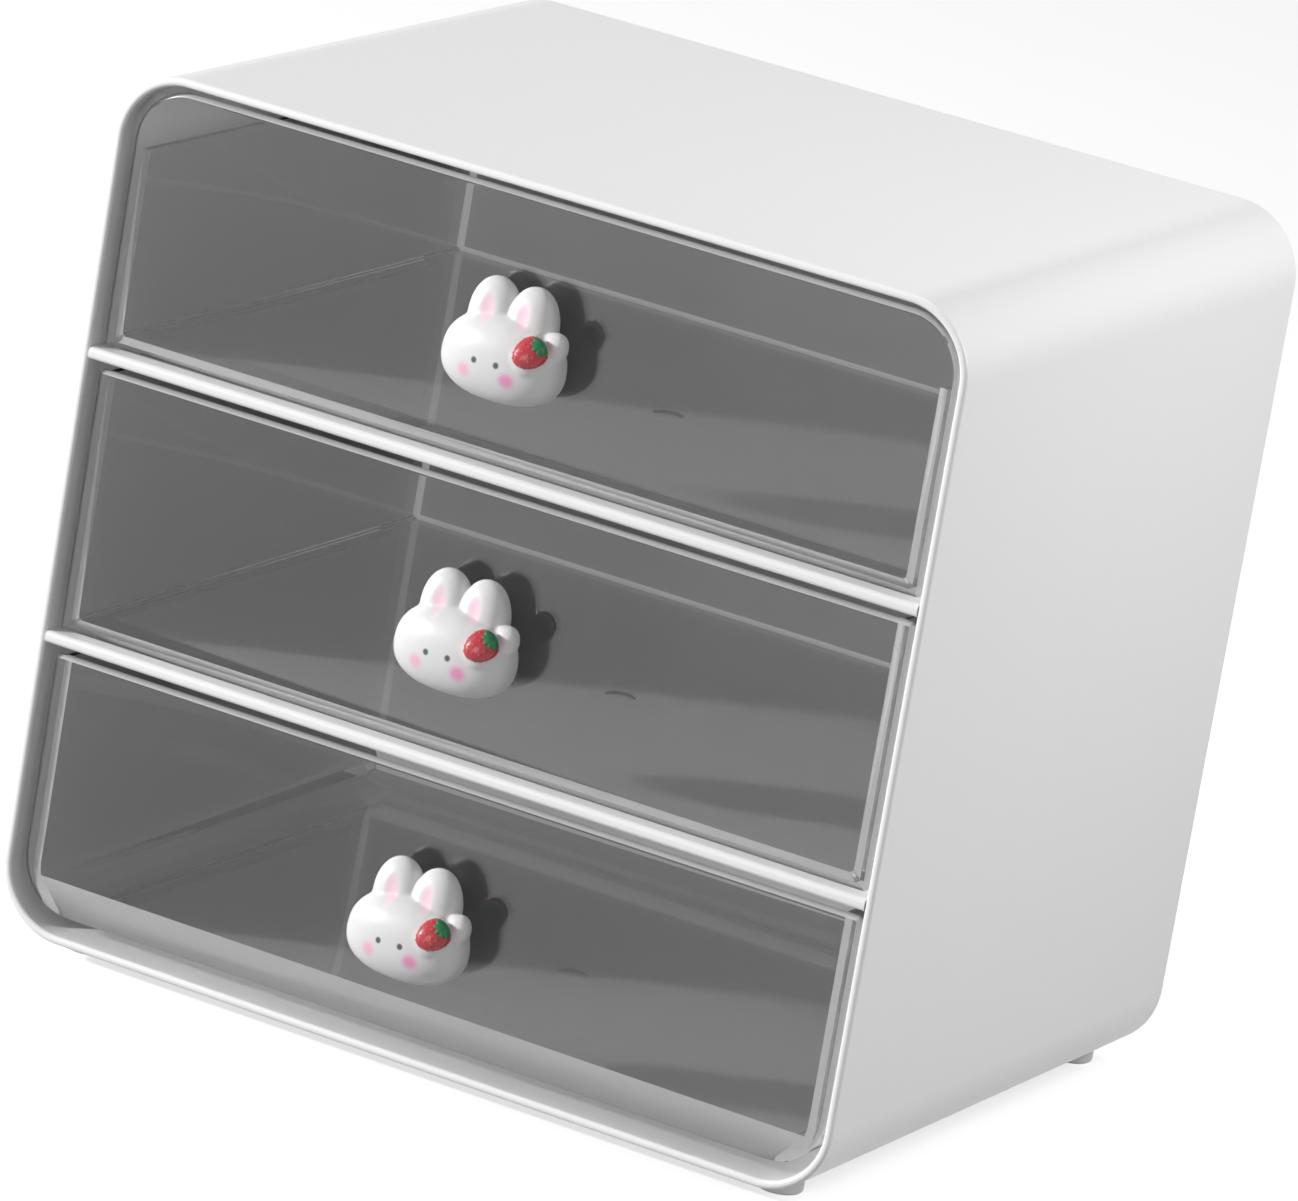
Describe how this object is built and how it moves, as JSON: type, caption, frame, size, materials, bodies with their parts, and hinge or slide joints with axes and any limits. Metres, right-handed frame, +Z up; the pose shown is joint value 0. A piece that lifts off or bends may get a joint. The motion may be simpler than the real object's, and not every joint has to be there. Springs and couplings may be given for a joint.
{
  "type": "desktop drawer organizer",
  "caption": "Round-cornered white desktop case with clear smoked slide-out drawers, each pulled by a small rabbit knob with a strawberry.",
  "frame": {"origin": "on the surface the feet stand on, midway across the case and midway between the rabbit knobs' noses and the case's back", "axes": "+X to the right seen from the front, +Y towards the back, +Z up; the drawers open towards -Y"},
  "size_m": [0.24, 0.1956, 0.2292],
  "materials": {
    "white_case": "smooth white gloss",
    "white_sheet": "smooth white gloss",
    "foot_pad": "soft satin",
    "smoked_clear": "polished clear, smoke grey",
    "white_resin": "glossy cast resin",
    "berry_red": "glossy",
    "leaf_green": "glossy",
    "brass_insert": "turned",
    "screw_steel": "zinc plated"
  },
  "bodies": {
    "cabinet": {"case_shell": "white_case", "back_panel": "white_sheet", "shelf_lower": "white_sheet", "shelf_upper": "white_sheet", "foot_front_left": "foot_pad", "foot_front_right": "foot_pad", "foot_back_left": "foot_pad", "foot_back_right": "foot_pad"},
    "top_drawer": {"top_front_panel": "smoked_clear", "top_tray": "smoked_clear", "top_rabbit_knob": "white_resin", "top_strawberry": "berry_red", "top_strawberry_leaves": "leaf_green", "top_threaded_insert": "brass_insert", "top_knob_screw": "screw_steel"},
    "middle_drawer": {"middle_front_panel": "smoked_clear", "middle_tray": "smoked_clear", "middle_rabbit_knob": "white_resin", "middle_strawberry": "berry_red", "middle_strawberry_leaves": "leaf_green", "middle_threaded_insert": "brass_insert", "middle_knob_screw": "screw_steel"},
    "bottom_drawer": {"bottom_front_panel": "smoked_clear", "bottom_tray": "smoked_clear", "bottom_rabbit_knob": "white_resin", "bottom_strawberry": "berry_red", "bottom_strawberry_leaves": "leaf_green", "bottom_threaded_insert": "brass_insert", "bottom_knob_screw": "screw_steel"}
  },
  "joints": [
    {"name": "top_drawer_slide", "type": "slide", "parent": "cabinet", "child": "top_drawer", "axis": [0, -1, 0], "range_m": [0, 0.12]},
    {"name": "middle_drawer_slide", "type": "slide", "parent": "cabinet", "child": "middle_drawer", "axis": [0, -1, 0], "range_m": [0, 0.12]},
    {"name": "bottom_drawer_slide", "type": "slide", "parent": "cabinet", "child": "bottom_drawer", "axis": [0, -1, 0], "range_m": [0, 0.12]}
  ]
}
